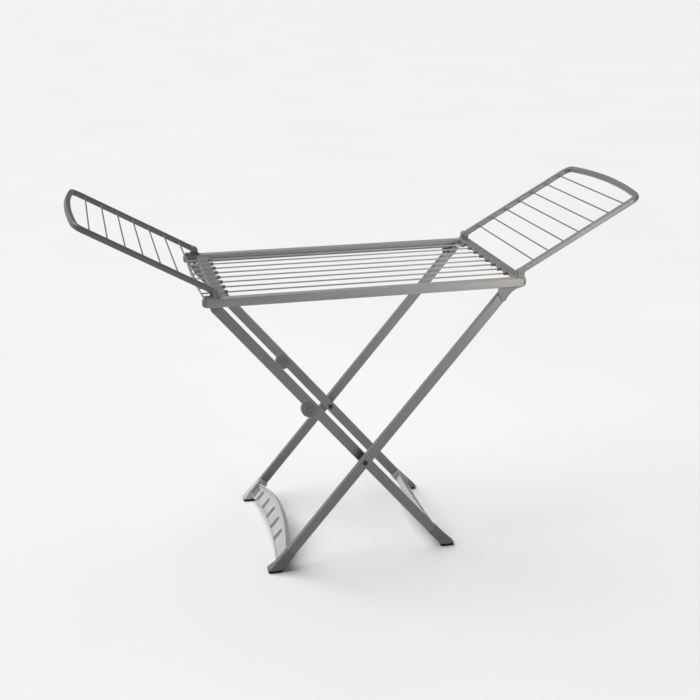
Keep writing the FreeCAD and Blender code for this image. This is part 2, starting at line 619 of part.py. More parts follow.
def wing_bow_sweep(start, margin):
    """A rounded section swept from one side tube, round the bow, to the other."""
    bow_centre = WING_BOW_END - WING_BOW_RADIUS
    corner_y = WING_Y - WING_CORNER_RADIUS
    reach = math.sqrt((WING_BOW_RADIUS - WING_CORNER_RADIUS) ** 2 - corner_y ** 2)
    corner_x = bow_centre + reach
    lean = math.atan2(corner_y, reach)

    def corner(angle, side):
        return Vector(corner_x + WING_CORNER_RADIUS * math.cos(angle),
                      side * (corner_y + WING_CORNER_RADIUS * math.sin(angle)), 0)

    quarter = math.pi / 2
    middle = (quarter + lean) / 2
    path = Part.Wire([
        Part.makeLine(Vector(start, WING_Y, 0), corner(quarter, 1)),
        Part.Arc(corner(quarter, 1), corner(middle, 1), corner(lean, 1)).toShape(),
        Part.Arc(corner(lean, 1), Vector(WING_BOW_END, 0, 0), corner(lean, -1)).toShape(),
        Part.Arc(corner(lean, -1), corner(middle, -1), corner(quarter, -1)).toShape(),
        Part.makeLine(corner(quarter, -1), Vector(start, -WING_Y, 0))])
    half_width = WING_TUBE_WIDTH / 2 - margin
    half_height = WING_TUBE_HEIGHT / 2 - margin
    ring = [(half_width, half_height), (half_width, -half_height),
            (-half_width, -half_height), (-half_width, half_height)]
    section = rounded_loop([Vector(start, WING_Y + w, h) for w, h in ring], WING_RADIUS - margin)
    return path.makePipeShell([section], True, False)


def wing_bow():
    """Outer end of a wing: a shallow hollow bow with a rounded corner and a plug at each side tube."""
    plug = wing_plug(WING_TUBE_END - 18, WING_TUBE_END)
    bow = wing_bow_sweep(WING_TUBE_END, 0).fuse([plug, front_of(plug)])
    return bow.cut(wing_bow_sweep(WING_TUBE_END - 19, WING_BOW_WALL))


# ---------------------------------------------------------------- the rack

def save_pair(name, shape, prefix=""):
    """The rear piece and its mirror image at the front."""
    save(prefix + "rear_" + name, shape)
    save(prefix + "front_" + name, front_of(shape))


def save_top_frame():
    save_pair("rail", rear_rail())
    save_pair("right_end_cap", rear_end_cap(RAIL_RIGHT))
    save_pair("left_end_cap", left_of(rear_end_cap(-RAIL_LEFT)))
    bow = left_end_bow()
    rods = [centre_rod(y, bow) for y in rod_places()]
    right_bar = end_bar(RIGHT_BAR_INNER)
    left_bar = left_of(end_bar(LEFT_BAR_INNER))
    for number, rod in enumerate(rods, start=1):
        right_bar = right_bar.cut(rod)
        left_bar = left_bar.cut(rod)
        save("centre_rod_%d" % number, rod)
    save("right_end_bar", right_bar)
    save("left_end_bar", left_bar)
    save("left_end_bow", bow)
    save_pair("pivot_block", rear_pivot_block())
    save_pair("leg_bracket", rear_leg_bracket())
    save("wing_hinge_pins", wing_hinge_pins())


def save_leg_frame(prefix, place, y, top_cap, bore_radius):
    """Tubes, top caps, shoes, pads and the arch of one leg frame."""
    save_pair("leg_tube", place(leg_tube(y, bore_radius)), prefix)
    save_pair("top_cap", top_cap, prefix)
    shoe = rear_shoe(y)
    pad = rear_pad(y)
    half_span = y - LEG_THICKNESS / 2
    arch = on_outer_leg(slotted_arch(half_span))
    arch = arch.cut(shoe).cut(front_of(shoe))
    arch = max(arch.Solids, key=lambda s: s.Volume)
    if place is on_inner_leg:
        plane = (Vector(CROSS_X, 0, 0), Vector(1, 0, 0))
        shoe = shoe.mirror(*plane)
        pad = pad.mirror(*plane)
        arch = arch.mirror(*plane)
    save_pair("foot_shoe", shoe, prefix)
    save_pair("foot_pad", pad, prefix)
    save(prefix + "slotted_arch", arch)


def save_wing(prefix, place):
    rail = wing_side_rail()
    arm = wing_hinge_arm()
    save_pair("side_rail", place(rail), prefix)
    save_pair("hinge_arm", place(arm), prefix)
    save(prefix + "bow", place(wing_bow()))
    save(prefix + "rods", Part.makeCompound([place(rod) for rod in wing_rod_list()]))


def on_left_wing(shape):
    return left_of(on_right_wing(shape))


os.makedirs("parts", exist_ok=True)
save_top_frame()
save_leg_frame("outer_", on_outer_leg, OUTER_LEG_Y, outer_rear_top_cap(),
               CROSS_BOLT_RADIUS + RUNNING_CLEARANCE)
save_leg_frame("inner_", on_inner_leg, INNER_LEG_Y, on_inner_leg(inner_rear_top_cap()),
               CROSS_BOLT_RADIUS)
save("top_pivot_pins", top_pivot_pins())
save("slide_pins", slide_pins())
save("slide_rollers", slide_rollers())
save_pair("fold_catch", on_inner_leg(rear_fold_catch()))
save("crossing_spacers", crossing_spacers())
save("crossing_bolts", crossing_bolts())
save_wing("right_wing_", on_right_wing)
save_wing("left_wing_", on_left_wing)
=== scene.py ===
"""Looks of the winged clothes drying rack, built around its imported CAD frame.  Metres, +Z up."""

import json
import math

import bmesh
import bpy
from mathutils import Matrix, Vector


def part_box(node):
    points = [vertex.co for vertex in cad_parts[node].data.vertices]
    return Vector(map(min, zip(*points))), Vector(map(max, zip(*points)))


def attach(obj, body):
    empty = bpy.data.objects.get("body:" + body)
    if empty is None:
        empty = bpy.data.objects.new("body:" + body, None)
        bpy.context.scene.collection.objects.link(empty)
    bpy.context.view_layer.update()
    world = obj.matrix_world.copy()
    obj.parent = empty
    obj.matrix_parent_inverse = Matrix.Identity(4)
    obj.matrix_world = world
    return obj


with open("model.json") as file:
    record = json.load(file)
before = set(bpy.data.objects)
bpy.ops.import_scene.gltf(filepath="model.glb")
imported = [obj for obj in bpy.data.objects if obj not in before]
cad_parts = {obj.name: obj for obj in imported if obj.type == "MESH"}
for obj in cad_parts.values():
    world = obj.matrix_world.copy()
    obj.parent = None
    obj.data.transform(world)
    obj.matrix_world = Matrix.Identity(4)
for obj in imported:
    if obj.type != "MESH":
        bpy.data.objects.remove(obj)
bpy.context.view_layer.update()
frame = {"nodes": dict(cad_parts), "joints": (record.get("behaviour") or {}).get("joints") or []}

MM = 0.001
Y_AXIS = Vector((0, 1, 0))
RACK = Matrix.Identity(4)    # the rack's own axes
SIDES = (-1, 1)              # front and rear
SUNK = -0.3                  # how far a detail reaches into the face that it stands on, in mm

# Sizes of CAD parts that their boxes don't give, in mm.
BAR_WIDTH = 33.0             # an end bar's plate, without its rod bosses
BOSS_LENGTH = 9.0            # the rod bosses, from the plate's inner edge
PIN_HEAD = 2.2               # height of the plain heads on the pins and bolts
LEG_END_GAP = 22.0           # from a leg tube's lower end to its foot point, just above the floor
SHOE_HEIGHT = 75.0           # length of a foot shoe, up the leg from the foot point
ARCH_PLATE = 5.0             # an arch's end plate, against the leg's inner face
TUBE_CORNER = 4.0            # corner radius of the leg and wing tubes
CATCH_RADIUS = 25.0


# ---------------------------------------------------------------- where the moving frames are

def joint_place(name):
    for joint in frame["joints"]:
        if joint["name"] == name:
            return Vector(joint["pos_m"]), joint
    raise ValueError(name)


PIVOT = joint_place("outer_fold")[0]
CROSSING = joint_place("inner_fold")[0]
RIGHT_HINGE, RIGHT_JOINT = joint_place("right_wing_hinge")
LEFT_HINGE = joint_place("left_wing_hinge")[0]
WING_SLOPE = math.radians(180.0 - max(RIGHT_JOINT["range_deg"]))
SLIDE = Vector((2 * CROSSING.x - PIVOT.x, 0, PIVOT.z))


def axes(origin, x_axis, y_axis=Y_AXIS):
    """A frame at origin whose X and Y are the given directions."""
    x = Vector(x_axis).normalized()
    z = x.cross(Vector(y_axis)).normalized()
    y = z.cross(x)
    turn = Matrix((x, y, z)).transposed().to_4x4()
    return Matrix.Translation(Vector(origin)) @ turn


def facing(origin, direction):
    """A frame at origin whose Z is the given direction."""
    turn = Vector(direction).to_track_quat("Z", "Y").to_matrix().to_4x4()
    return Matrix.Translation(Vector(origin)) @ turn


OUTER_LEG = axes(PIVOT, CROSSING - PIVOT)
INNER_LEG = axes(SLIDE, CROSSING - SLIDE)
RIGHT_WING = axes(RIGHT_HINGE, (math.cos(WING_SLOPE), 0, math.sin(WING_SLOPE)))
LEFT_WING = axes(LEFT_HINGE, (-math.cos(WING_SLOPE), 0, math.sin(WING_SLOPE)), -Y_AXIS)
OUTER_TURN = math.atan2((CROSSING - PIVOT).z, (CROSSING - PIVOT).x)
INNER_TURN = math.atan2((CROSSING - SLIDE).z, (CROSSING - SLIDE).x)


# ---------------------------------------------------------------- procedural finishes

class Nodes:
    """Short calls that add shader nodes to one material."""

    FACTOR, COLOUR_A, COLOUR_B, COLOUR = 0, 6, 7, 2    # a colour Mix node's inputs, and its output

    def __init__(self, name):
        self.material = bpy.data.materials.new(name)
        self.material.use_nodes = True
        self.tree = self.material.node_tree
        self.shader = self.tree.nodes["Principled BSDF"]
        self.place = self.add("ShaderNodeTexCoord").outputs["Object"]

    def add(self, kind, **values):
        node = self.tree.nodes.new(kind)
        for key, value in values.items():
            if hasattr(node, key):
                setattr(node, key, value)
            else:
                node.inputs[key].default_value = value
        return node

    def link(self, a, b):
        self.tree.links.new(a, b)

    def stretched(self, turn, scale):
        """Object coordinates turned about Y and stretched, so that marks run along a member."""
        node = self.add("ShaderNodeMapping", vector_type="TEXTURE")
        node.inputs["Rotation"].default_value = (0, -turn, 0)
        node.inputs["Scale"].default_value = scale
        self.link(self.place, node.inputs["Vector"])
        return node.outputs["Vector"]

    def noise(self, vector, scale, detail=3.0, roughness=0.5):
        node = self.add("ShaderNodeTexNoise", Scale=scale, Detail=detail, Roughness=roughness)
        self.link(vector, node.inputs["Vector"])
        return node.outputs["Fac"]

    def ranged(self, value, low, high, to_low, to_high):
        node = self.add("ShaderNodeMapRange")
        for key, number in (("From Min", low), ("From Max", high), ("To Min", to_low), ("To Max", to_high)):
            node.inputs[key].default_value = number
        self.link(value, node.inputs["Value"])
        return node.outputs["Result"]

    def mixed(self, factor, colour_a, colour_b):
        node = self.add("ShaderNodeMix", data_type="RGBA")
        for socket, colour in ((self.COLOUR_A, colour_a), (self.COLOUR_B, colour_b)):
            if isinstance(colour, tuple):
                node.inputs[socket].default_value = (*colour, 1)
            else:
                self.link(colour, node.inputs[socket])
        self.link(factor, node.inputs[self.FACTOR])
        return node.outputs[self.COLOUR]

    def maths(self, operation, a, b):
        node = self.add("ShaderNodeMath", operation=operation)
        for socket, value in ((node.inputs[0], a), (node.inputs[1], b)):
            if isinstance(value, (int, float)):
                socket.default_value = value
            else:
                self.link(value, socket)
        return node.outputs[0]

    def bump(self, height, distance):
        """Shade the height (0 to 1) as relief of the given depth in metres."""
        node = self.add("ShaderNodeBump", Strength=1.0, Distance=distance)
        self.link(height, node.inputs["Height"])
        self.link(node.outputs["Normal"], self.shader.inputs["Normal"])


def shade(colour, factor):
    """The colour made paler or darker."""
    return tuple(min(1.0, c * factor) for c in colour)


def moulded(name, colour, rough=0.5):
    """Moulded plastic: fine spark texture, faint flow mottling and rubbed patches."""
    n = Nodes(name)
    fine = n.noise(n.place, 1500.0, 2.0, 0.6)
    flow = n.noise(n.place, 14.0, 4.0, 0.6)
    rub = n.noise(n.place, 55.0, 5.0, 0.65)
    base = n.mixed(n.ranged(flow, 0.3, 0.7, 0, 1), shade(colour, 0.9), shade(colour, 1.1))
    base = n.mixed(n.ranged(rub, 0.58, 0.78, 0, 0.5), base, shade(colour, 1.3))
    base = n.mixed(n.ranged(fine, 0.35, 0.6, 0.22, 0), base, shade(colour, 0.7))
    n.link(base, n.shader.inputs["Base Color"])
    n.link(n.ranged(rub, 0.3, 0.75, rough + 0.09, rough - 0.1), n.shader.inputs["Roughness"])
    n.shader.inputs["Specular IOR Level"].default_value = 0.4
    n.bump(n.maths("ADD", fine, n.maths("MULTIPLY", flow, 0.6)), 0.06 * MM)
    return n.material


def coated(name, colour, turn=0.0, rough=0.4):
    """Powder coat on a tube that leans by turn: orange peel, lengthwise rub marks, fine scratches."""
    n = Nodes(name)
    along = n.stretched(turn, (1.0, 0.03, 0.03))
    hair = n.stretched(turn + 0.012, (1.0, 0.006, 0.006))
    streaks = n.noise(along, 7.0, 4.0, 0.55)
    scratches = n.noise(hair, 9.0, 2.0, 0.7)
    peel = n.noise(n.place, 620.0, 2.0, 0.5)
    cloud = n.noise(n.place, 8.0, 3.0, 0.5)
    base = n.mixed(n.ranged(cloud, 0.3, 0.7, 0, 1), shade(colour, 0.92), shade(colour, 1.07))
    base = n.mixed(n.ranged(streaks, 0.42, 0.72, 0, 0.36), base, shade(colour, 1.28))
    base = n.mixed(n.ranged(scratches, 0.70, 0.76, 0, 0.4), base, shade(colour, 1.9))
    n.link(base, n.shader.inputs["Base Color"])
    n.shader.inputs["Metallic"].default_value = 0.15
    n.shader.inputs["Coat Weight"].default_value = 0.15
    n.shader.inputs["Coat Roughness"].default_value = 0.3
    n.link(n.ranged(streaks, 0.3, 0.75, rough + 0.07, rough - 0.08), n.shader.inputs["Roughness"])
    n.bump(n.maths("ADD", peel, n.maths("MULTIPLY", scratches, -0.5)), 0.05 * MM)
    return n.material


def extruded(name, colour, rough=0.42):
    """Extruded rail: die lines along its length, slight banding and handling marks."""
    n = Nodes(name)
    die = n.stretched(0.0, (1.0, 0.0022, 0.0022))
    band = n.stretched(0.0, (1.0, 0.02, 0.02))
    lines = n.noise(die, 3.0, 3.0, 0.6)
    bands = n.noise(band, 2.2, 3.0, 0.5)
    marks = n.noise(n.place, 38.0, 6.0, 0.7)
    base = n.mixed(n.ranged(bands, 0.3, 0.7, 0, 1), shade(colour, 0.9), shade(colour, 1.08))
    base = n.mixed(n.ranged(lines, 0.35, 0.7, 0.0, 0.35), base, shade(colour, 1.22))
    base = n.mixed(n.ranged(marks, 0.6, 0.8, 0, 0.5), base, shade(colour, 0.76))
    n.link(base, n.shader.inputs["Base Color"])
    n.shader.inputs["Metallic"].default_value = 0.1
    n.link(n.ranged(marks, 0.3, 0.7, rough - 0.07, rough + 0.1), n.shader.inputs["Roughness"])
    n.bump(lines, 0.12 * MM)
    return n.material


def plated(name, colour, rough=0.3):
    """Zinc plating: cloudy brightness and a fine grain."""
    n = Nodes(name)
    cloud = n.noise(n.place, 160.0, 4.0, 0.6)
    fine = n.noise(n.place, 2400.0, 2.0, 0.5)
    base = n.mixed(n.ranged(cloud, 0.3, 0.7, 0, 1), shade(colour, 0.78), shade(colour, 1.1))
    n.link(base, n.shader.inputs["Base Color"])
    n.shader.inputs["Metallic"].default_value = 0.9
    n.link(n.ranged(cloud, 0.3, 0.7, rough + 0.14, rough - 0.05), n.shader.inputs["Roughness"])
    n.bump(fine, 0.03 * MM)
    return n.material


def rubbery(name, colour):
    """Foot rubber: matt, dusty in patches, with a coarse skin."""
    n = Nodes(name)
    skin = n.noise(n.place, 900.0, 4.0, 0.6)
    dust = n.noise(n.place, 90.0, 5.0, 0.65)
    base = n.mixed(n.ranged(dust, 0.5, 0.75, 0, 0.5), colour, shade(colour, 3.2))
    n.link(base, n.shader.inputs["Base Color"])
    n.link(n.ranged(dust, 0.3, 0.7, 0.75, 0.92), n.shader.inputs["Roughness"])
    n.shader.inputs["Specular IOR Level"].default_value = 0.25
    n.bump(skin, 0.15 * MM)
    return n.material


LEG_GREY = (0.178, 0.178, 0.188)
RAIL_GREY = (0.262, 0.247, 0.236)
MOULDING_GREY = (0.182, 0.174, 0.172)
SHOE_GREY = (0.43, 0.43, 0.445)
WING_GREY = (0.134, 0.128, 0.127)
# DARK_SHOE_GREY is the shoe moulding painted darker; on the front and inner shoes, their rims and heels it is
# painted shade.
DARK_SHOE_GREY = (0.150, 0.149, 0.150)
ROD_GREY = (0.34, 0.34, 0.35)
WING_ROD_GREY = (0.14, 0.14, 0.145)
STEEL = (0.5, 0.5, 0.51)
BLACK_PLASTIC = (0.018, 0.018, 0.02)
RUBBER = (0.012, 0.012, 0.012)

FINISHES = {
    "rail_profile": extruded("rail_profile", RAIL_GREY),
    # The edge finishes are paler, glossier copies for the bevels: partly edge wear, partly painted highlight.
    "rail_edge_wear_and_highlight": extruded("rail_edge_wear_and_highlight", shade(RAIL_GREY, 1.15), 0.36),
    "grey_moulding": moulded("grey_moulding", MOULDING_GREY),
    "moulding_edge_wear_and_highlight": moulded("moulding_edge_wear_and_highlight", shade(MOULDING_GREY, 1.25), 0.44),
    "shoe_moulding": moulded("shoe_moulding", SHOE_GREY, 0.52),
    "shoe_edge_wear_and_highlight": moulded("shoe_edge_wear_and_highlight", shade(SHOE_GREY, 1.18), 0.45),
    "dark_shoe": moulded("dark_shoe", DARK_SHOE_GREY),
    "black_moulding": moulded("black_moulding", BLACK_PLASTIC, 0.42),
    "outer_leg_paint": coated("outer_leg_paint", LEG_GREY, OUTER_TURN),
    "inner_leg_paint": coated("inner_leg_paint", LEG_GREY, INNER_TURN),
    "right_wing_paint": coated("right_wing_paint", WING_GREY, WING_SLOPE),
    "left_wing_paint": coated("left_wing_paint", WING_GREY, -WING_SLOPE),
    "rod_coating": coated("rod_coating", ROD_GREY, 0.0, 0.34),
    "wing_rod_coating": coated("wing_rod_coating", WING_ROD_GREY, 0.0, 0.34),
    "pin_steel": plated("pin_steel", STEEL),
    "foot_rubber": rubbery("foot_rubber", RUBBER),
}


# ---------------------------------------------------------------- finishing the CAD nodes

def soften(obj, width):
    """Round a CAD node's hard edges a little, so that they catch the light."""
    weld = obj.modifiers.new("weld", "WELD")
    weld.merge_threshold = 0.01 * MM
    bevel = obj.modifiers.new("edges", "BEVEL")
    bevel.width = width
    bevel.segments = 2
    bevel.limit_method = "ANGLE"
    bevel.angle_limit = math.radians(38)
    bevel.use_clamp_overlap = True
    flat = obj.modifiers.new("flat_faces", "WEIGHTED_NORMAL")
    flat.mode = "FACE_AREA"
    flat.weight = 100
    return bevel


def dress(node, finish, edge, width):
    """Give a CAD node its finish, soft edges and, on the bevels, a paler and glossier edge finish that is
    partly edge wear and partly painted highlight.
    """
    obj = frame["nodes"][node]
    mesh = obj.data
    mesh.materials.clear()
    mesh.materials.append(FINISHES[finish])
    for name in ("custom_normal", "sharp_face", "sharp_edge"):
        if name in mesh.attributes:
            mesh.attributes.remove(mesh.attributes[name])
    mesh.polygons.foreach_set("material_index", [0] * len(mesh.polygons))
    mesh.polygons.foreach_set("use_smooth", [True] * len(mesh.polygons))
    if width:
        bevel = soften(obj, width * MM)
        if edge:
            mesh.materials.append(FINISHES[edge])
            # The bevel faces take the paler edge finish: partly edge wear, partly painted highlight.
            bevel.material = 1


def finish_of(node):
    """A CAD node's finish, its paler edge finish (partly edge wear, partly painted highlight) or None, and
    its edge radius in mm.
    """
    if "foot_pad" in node:
        return "foot_rubber", None, 0.4
    if node in ("top_pivot_pins", "slide_pins", "crossing_bolts", "wing_hinge_pins"):
        return "pin_steel", None, 0.4
    if node in ("crossing_spacers", "slide_rollers") or "pivot_block" in node:
        return "black_moulding", None, 0.5
    if node.startswith("outer_") and "leg_tube" in node:
        return "outer_leg_paint", None, 0.4
    if node.startswith("inner_") and "leg_tube" in node:
        return "inner_leg_paint", None, 0.4
    if "slotted_arch" in node:
        return "shoe_moulding", "shoe_edge_wear_and_highlight", 0.7
    if "fold_catch" in node:
        return "dark_shoe", None, 0.6
    # Only the outer rear shoe keeps the arches' pale moulding; the other shoes get its darker copy as painted
    # shade.
    if node == "outer_rear_foot_shoe":
        return "shoe_moulding", "shoe_edge_wear_and_highlight", 0.8
    if "foot_shoe" in node:
        return "dark_shoe", None, 0.8
    if node.startswith("centre_rod") or node == "left_end_bow":
        return "rod_coating", None, 0.0
    if node.endswith("wing_rods"):
        return "wing_rod_coating", None, 0.0
    for wing in ("left_wing", "right_wing"):
        if node.startswith(wing) and ("side_rail" in node or node.endswith("_bow")):
            return wing + "_paint", None, 0.35
    if node in ("front_rail", "rear_rail"):
        return "rail_profile", "rail_edge_wear_and_highlight", 0.5
    if "leg_bracket" in node:
        # A bevel would carry the bracket's outer face a hair past the CAD's box.
        return "grey_moulding", None, 0.0
    return "grey_moulding", "moulding_edge_wear_and_highlight", 0.6


for cad_node in frame["nodes"]:
    dress(cad_node, *finish_of(cad_node))


# ---------------------------------------------------------------- mesh helpers

def put(mesh_data, matrix, points):
    """New vertices at points in metres, given in the matrix's frame."""
    return [mesh_data.verts.new(matrix @ Vector(p)) for p in points]


def skin(mesh_data, loops):
    """A ring of faces between each loop of vertices and the next."""
    count = len(loops[0])
    for low, high in zip(loops, loops[1:]):
        for i in range(count):
            j = (i + 1) % count
            mesh_data.faces.new((low[i], low[j], high[j], high[i]))


def turned(mesh_data, matrix, profile, count=32):
    """Revolve a profile of (radius, height) in mm about the frame's Z."""
    rings = []
    for radius, height in profile:
        if radius == 0:
            rings.append(put(mesh_data, matrix, [(0, 0, height * MM)]))
            continue
        points = [(radius * MM * math.cos(2 * math.pi * i / count),
                   radius * MM * math.sin(2 * math.pi * i / count), height * MM) for i in range(count)]
        rings.append(put(mesh_data, matrix, points))
    for low, high in zip(rings, rings[1:]):
        for i in range(count):
            j = (i + 1) % count
            if len(low) == 1:
                mesh_data.faces.new((low[0], high[j], high[i]))
            elif len(high) == 1:
                mesh_data.faces.new((low[i], low[j], high[0]))
            else:
                mesh_data.faces.new((low[i], low[j], high[j], high[i]))


def closed_ring(mesh_data, matrix, profile, count):
    """Revolve a closed profile, so that it makes a ring."""
    turned(mesh_data, matrix, list(profile) + [profile[0]], count)


def extrusion(mesh_data, outline, x0, x1):
    """A prism along X from a closed outline of (y, z), all in mm."""
    low = put(mesh_data, RACK, [(x0 * MM, y * MM, z * MM) for y, z in outline])
    high = put(mesh_data, RACK, [(x1 * MM, y * MM, z * MM) for y, z in outline])
    skin(mesh_data, [low, high])
    mesh_data.faces.new(low[::-1])
    mesh_data.faces.new(high)


def rounded_outline(half_y, half_z, radius):
    """Points round a rectangle with rounded corners."""
    points = []
    steps = 5
    for k, (sy, sz) in enumerate(((1, 1), (-1, 1), (-1, -1), (1, -1))):
        for i in range(steps + 1):
            angle = math.pi / 2 * (k + i / steps)
            points.append((sy * (half_y - radius) + radius * math.cos(angle),
                           sz * (half_z - radius) + radius * math.sin(angle)))
    return points


def sleeve(mesh_data, matrix, y, half_y, half_z, radius, x0, x1, proud, lip=0.4):
    """A band round a tube, from x0 to x1, that stands proud of it and has a chamfer of lip, in mm."""
    inside = -0.4
    loops = []
    for x, grow in ((x0, inside), (x0, proud - lip), (x0 + lip, proud),
                    (x1 - lip, proud), (x1, proud - lip), (x1, inside)):
        outline = rounded_outline(half_y + grow, half_z + grow, radius + grow)
        loops.append(put(mesh_data, matrix, [(x * MM, (y + a) * MM, b * MM) for a, b in outline]))
    skin(mesh_data, loops + [loops[0]])


def cross_recess_screw(mesh_data, matrix, radius, height, base=SUNK):
    """Pan-headed screw with a cross recess, standing on the frame's XY plane."""
    arm = radius * 0.62
    half = radius * 0.14
    floor = height * 0.35
    rim_radius = radius * 0.78
    rim_height = height * 0.97
    count = 32
    turned(mesh_data, matrix, [(radius, base), (radius, height * 0.45), (radius * 0.93, height * 0.78),
                               (rim_radius, rim_height)], count)
    corners = [(arm, -half), (arm, half), (half, half), (half, arm), (-half, arm), (-half, half),
               (-arm, half), (-arm, -half), (-half, -half), (-half, -arm), (half, -arm), (half, -half)]
    top = put(mesh_data, matrix, [(x * MM, y * MM, height * MM) for x, y in corners])
    sunk = put(mesh_data, matrix, [(x * 0.8 * MM, y * 0.8 * MM, floor * MM) for x, y in corners])
    for i in range(len(corners)):
        j = (i + 1) % len(corners)
        mesh_data.faces.new((top[j], top[i], sunk[i], sunk[j]))
    mesh_data.faces.new(sunk)
    rim = [(rim_radius * math.cos(2 * math.pi * i / count), rim_radius * math.sin(2 * math.pi * i / count))
           for i in range(count)]
    outer = put(mesh_data, matrix, [(x * MM, y * MM, rim_height * MM) for x, y in rim])
    borders = [mesh_data.edges.new((outer[i], outer[(i + 1) % count])) for i in range(count)]
    borders += [mesh_data.edges.get((top[i], top[(i + 1) % len(top)])) for i in range(len(top))]
    bmesh.ops.triangle_fill(mesh_data, use_beauty=True, edges=borders)


def dome(mesh_data, matrix, radius, height, base=SUNK):
    """A low rounded head."""
    turned(mesh_data, matrix, [(radius, base), (radius, height * 0.35), (radius * 0.94, height * 0.66),
                               (radius * 0.78, height * 0.88), (radius * 0.45, height * 0.985),
                               (0, height)])


def hexagon(mesh_data, matrix, radius, height):
    """A hexagon nut with a chamfered top and a rounded thread end."""
    loops = []
    for scale, z in ((1, SUNK), (1, height * 0.85), (0.9, height)):
        corners = [(radius * scale * math.cos(math.pi / 3 * i), radius * scale * math.sin(math.pi / 3 * i))
                   for i in range(6)]
        loops.append(put(mesh_data, matrix, [(x * MM, y * MM, z * MM) for x, y in corners]))
    skin(mesh_data, loops)
    mesh_data.faces.new(loops[-1])
    turned(mesh_data, matrix, [(radius * 0.45, height - 0.2), (radius * 0.45, height + 0.9),
                               (radius * 0.36, height + 1.4), (0, height + 1.5)], 24)


def piece(name, body, finish, build, bevel=0.0):
    """One detail object, filled by build(mesh_data), that rides on a body."""
    mesh_data = bmesh.new()
    build(mesh_data)
    bmesh.ops.remove_doubles(mesh_data, verts=mesh_data.verts, dist=1e-7)
    bmesh.ops.recalc_face_normals(mesh_data, faces=mesh_data.faces)
    mesh = bpy.data.meshes.new(name)
    mesh_data.to_mesh(mesh)
    mesh_data.free()
    mesh.polygons.foreach_set("use_smooth", [True] * len(mesh.polygons))
    mesh.set_sharp_from_angle(angle=math.radians(40))
    obj = bpy.data.objects.new(name, mesh)
    bpy.context.scene.collection.objects.link(obj)
    mesh.materials.append(FINISHES[finish])
    if bevel:
        edges = obj.modifiers.new("edges", "BEVEL")
        edges.width = bevel * MM
        edges.segments = 2
        edges.limit_method = "ANGLE"
        edges.angle_limit = math.radians(40)
        flat = obj.modifiers.new("flat_faces", "WEIGHTED_NORMAL")
        flat.weight = 90
    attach(obj, body)


# ---------------------------------------------------------------- top frame details

RAIL_LO, RAIL_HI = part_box("rear_rail")
RAIL_INNER = RAIL_LO.y / MM
RAIL_OUTER = RAIL_HI.y / MM
RAIL_TOP = RAIL_HI.z / MM
RODS = []    # the middle's Y and Z, and the left end's X, of each centre rod, in metres
for number in range(1, 9):
    rod_low, rod_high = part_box("centre_rod_%d" % number)
    RODS.append(((rod_low.y + rod_high.y) / 2, (rod_low.z + rod_high.z) / 2, rod_low.x))
ROD_RADIUS = (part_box("centre_rod_1")[1].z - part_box("centre_rod_1")[0].z) / 2 / MM


def bar_details(node, inward):
    """Ribs, rod saddles and an edge lip on top of an end bar.  inward is the X direction to the middle."""
    low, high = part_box(node)
    top = RAIL_TOP
    outer = (low.x if inward > 0 else high.x) / MM

    def build(mesh_data):
        half = (high.y - low.y) / 2 / MM
        a, b = sorted((outer + inward * 0.2, outer + inward * 2.4))
        lip = [(-half + 1, top - 0.4), (half - 1, top - 0.4), (half - 1, top + 1.3), (-half + 1, top + 1.3)]
        extrusion(mesh_data, lip, a, b)
        tip = outer + inward * (BAR_WIDTH + BOSS_LENGTH)
        a, b = sorted((outer + inward * 4.5, tip + inward * 0.2))
        for y, _, _ in RODS:
            y /= MM
            saddle = [(y + 6.6 * math.cos(t), top - 0.5 + 2.3 * math.sin(t))
                      for t in [math.pi * i / 10 for i in range(11)]]
            extrusion(mesh_data, saddle, a, b)
        a, b = sorted((outer + inward * 5.5, outer + inward * (BAR_WIDTH - 3.0)))
        pitch = (RODS[1][0] - RODS[0][0]) / MM
        for gap in range(-1, len(RODS)):
            start = RODS[0][0] / MM + gap * pitch
            for k in range(1, 5):
                y = start + pitch * (0.5 + (k - 2.5) * 0.17)
                if abs(y) > half - 3:
                    continue
                rib = [(y - 1.1, top - 0.3), (y + 1.1, top - 0.3), (y + 0.7, top + 0.9), (y - 0.7, top + 0.9)]
                extrusion(mesh_data, rib, a, b)

    return build


piece("right_bar_ribs", "top_frame", "grey_moulding", bar_details("right_end_bar", -1), 0.25)
piece("left_bar_ribs", "top_frame", "grey_moulding", bar_details("left_end_bar", 1), 0.25)


def rod_grommets(mesh_data):
    """A short round collar on the tip of each rod boss."""
    right_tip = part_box("right_end_bar")[0].x
    left_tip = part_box("left_end_bar")[1].x
    for y, z, _ in RODS:
        for tip, direction in ((right_tip, -1), (left_tip, 1)):
            place = facing((tip, y, z), (direction, 0, 0))
            closed_ring(mesh_data, place, [(ROD_RADIUS - 0.2, -0.6), (5.9, -0.6), (5.9, 1.5), (5.4, 2.3),
                                           (4.4, 2.7), (3.0, 2.7), (ROD_RADIUS - 0.2, 2.0)], 24)


piece("rod_grommets", "top_frame", "grey_moulding", rod_grommets)


def rod_welds(mesh_data):
    """A small bead where each rod meets the bent end wire."""
    for y, z, x in RODS:
        place = facing((x, y, z), (1, 0, 0))
        turned(mesh_data, place, [(0, -2.6), (1.9, -2.3), (3.2, -1.2), (3.6, 0.2), (3.3, 1.6), (2.7, 2.8),
                                  (ROD_RADIUS - 0.2, 3.4)], 20)


piece("rod_welds", "top_frame", "rod_coating", rod_welds)


